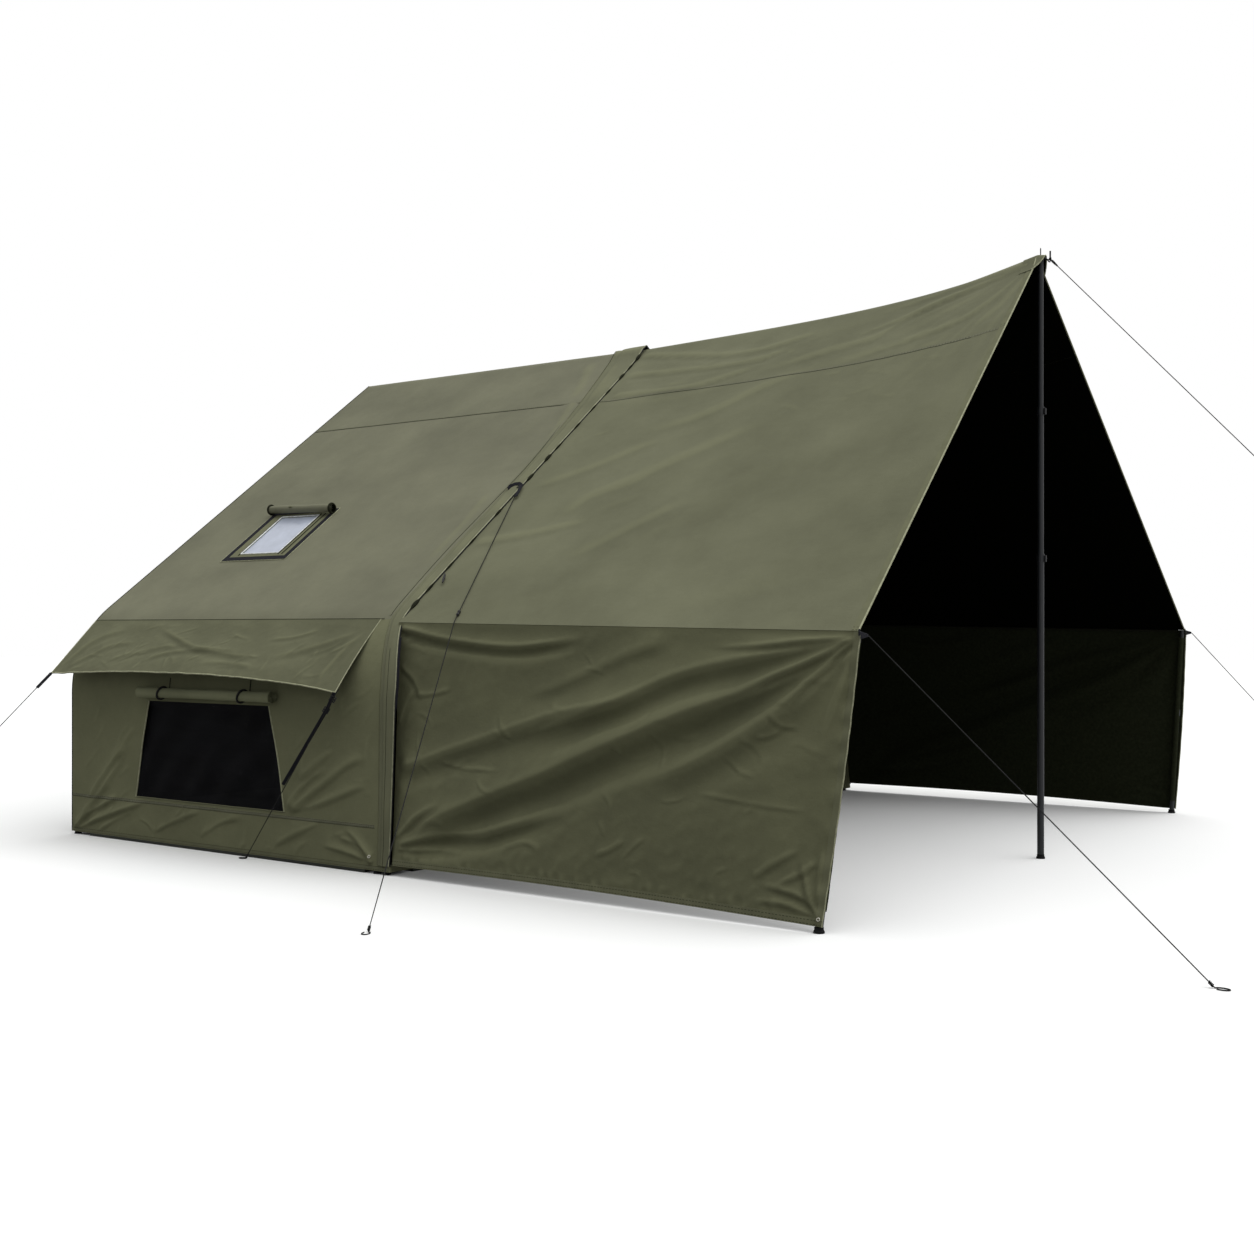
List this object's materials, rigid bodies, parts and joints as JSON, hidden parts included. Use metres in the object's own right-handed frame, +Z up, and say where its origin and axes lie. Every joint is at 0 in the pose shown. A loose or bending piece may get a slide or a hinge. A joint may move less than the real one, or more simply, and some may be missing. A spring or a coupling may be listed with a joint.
{
  "type": "inflatable ridge tent",
  "caption": "Ridge tent with an air-beam cabin at the back and an open canopy in front on poles and guy lines.",
  "frame": {"origin": "on the ground under the middle of the tent's width, just behind the foot of the joint between cabin and canopy", "axes": "+X forward along the ridge, out of the open canopy; +Y to the tent's left, the side away from the picture; +Z up"},
  "size_m": [7.0428, 5.2954, 2.7952],
  "materials": {
    "cabin_cloth": "woven polyester-cotton",
    "wall_cloth": "woven polyester-cotton",
    "mesh_net": "fine black net",
    "clear_film": "clear film",
    "webbing": "woven tape",
    "pole_steel": "satin black powder coat",
    "rubber": "moulded",
    "rope": "braided",
    "air_film": "smooth air-tight film",
    "valve_plastic": "moulded",
    "floor_film": "coated, smooth"
  },
  "bodies": {
    "tent": {"cabin_roof_top": "cabin_cloth", "cabin_roof_near": "cabin_cloth", "cabin_roof_far": "cabin_cloth", "cabin_wall_near": "wall_cloth", "cabin_wall_far": "wall_cloth", "cabin_wall_rear": "wall_cloth", "cabin_wall_front": "wall_cloth", "door_rolled": "wall_cloth", "groundsheet": "floor_film", "beam_sleeve_rear": "wall_cloth", "beam_sleeve_front": "wall_cloth", "beam_bladder_rear": "air_film", "beam_bladder_front": "air_film", "ridge_beam": "wall_cloth", "beam_foot_rear_near": "rubber", "beam_foot_rear_far": "rubber", "beam_foot_front_near": "rubber", "beam_foot_front_far": "rubber", "valve_body_rear": "valve_plastic", "valve_body_front": "valve_plastic", "window_mesh_near": "mesh_net", "window_mesh_far": "mesh_net", "window_cover_roll_near": "wall_cloth", "window_cover_roll_far": "wall_cloth", "eave_flap_near": "cabin_cloth", "eave_flap_far": "cabin_cloth", "skylight_frame": "webbing", "skylight_pane": "clear_film", "skylight_cover_roll": "cabin_cloth", "junction_band": "wall_cloth", "canopy_roof_top": "cabin_cloth", "canopy_roof_near": "cabin_cloth", "canopy_roof_far": "cabin_cloth", "canopy_wall_near": "wall_cloth", "canopy_wall_far": "wall_cloth", "centre_pole_foot": "rubber", "centre_pole_lower": "pole_steel", "peak_hook": "pole_steel", "corner_pole_foot_near": "rubber", "corner_pole_foot_far": "rubber", "corner_pole_lower_near": "pole_steel", "corner_pole_lower_far": "pole_steel", "corner_tab_near": "webbing", "corner_tab_far": "webbing", "guy_peak": "rope", "guy_corner_near": "rope", "guy_corner_far": "rope", "guy_junction": "rope", "guy_flap_rear": "rope", "guy_flap_front": "rope"},
    "centre_middle_section": {"centre_pole_middle": "pole_steel"},
    "centre_upper_section": {"centre_pole_upper": "pole_steel"},
    "corner_upper_section_near": {"corner_pole_upper_near": "pole_steel"},
    "corner_upper_section_far": {"corner_pole_upper_far": "pole_steel"},
    "rear_valve_cap": {"valve_cap_rear": "valve_plastic"},
    "front_valve_cap": {"valve_cap_front": "valve_plastic"},
    "peak_runner": {"runner_peak": "valve_plastic"},
    "corner_runner_far": {"runner_corner_far": "valve_plastic"},
    "junction_runner": {"runner_junction": "valve_plastic"},
    "flap_runner": {"runner_flap": "valve_plastic"}
  },
  "joints": [
    {"name": "centre_middle_slide", "type": "slide", "parent": "tent", "child": "centre_middle_section", "axis": [0, 0, 1], "range_m": [-0.62, 0]},
    {"name": "centre_upper_slide", "type": "slide", "parent": "centre_middle_section", "child": "centre_upper_section", "axis": [0, 0, 1], "range_m": [-0.62, 0]},
    {"name": "corner_slide_near", "type": "slide", "parent": "tent", "child": "corner_upper_section_near", "axis": [0.0873, 0.1115, 0.9899], "range_m": [-0.35, 0]},
    {"name": "corner_slide_far", "type": "slide", "parent": "tent", "child": "corner_upper_section_far", "axis": [0.0873, -0.1115, 0.9899], "range_m": [-0.35, 0]},
    {"name": "rear_valve_cap_hinge", "type": "hinge", "parent": "tent", "child": "rear_valve_cap", "pos_m": [-2.0521, -2.0327, 0.4817], "axis": [0, 1, 0], "range_deg": [0, 110]},
    {"name": "front_valve_cap_hinge", "type": "hinge", "parent": "tent", "child": "front_valve_cap", "pos_m": [-0.10088, -2.0327, 0.47703], "axis": [0, -1, 0], "range_deg": [0, 110]},
    {"name": "peak_runner_slide", "type": "slide", "parent": "tent", "child": "peak_runner", "axis": [0.6777, 0, -0.7354], "range_m": [-0.6, 0.6]},
    {"name": "corner_runner_far_slide", "type": "slide", "parent": "tent", "child": "corner_runner_far", "axis": [0.6515, 0.0944, -0.7527], "range_m": [-0.5, 0.35]},
    {"name": "junction_runner_slide", "type": "slide", "parent": "tent", "child": "junction_runner", "axis": [0.3218, -0.7557, -0.5704], "range_m": [-0.12, 0.03]},
    {"name": "flap_runner_slide", "type": "slide", "parent": "tent", "child": "flap_runner", "axis": [-0.0629, -0.7164, -0.6948], "range_m": [-0.3, 0.5]}
  ]
}
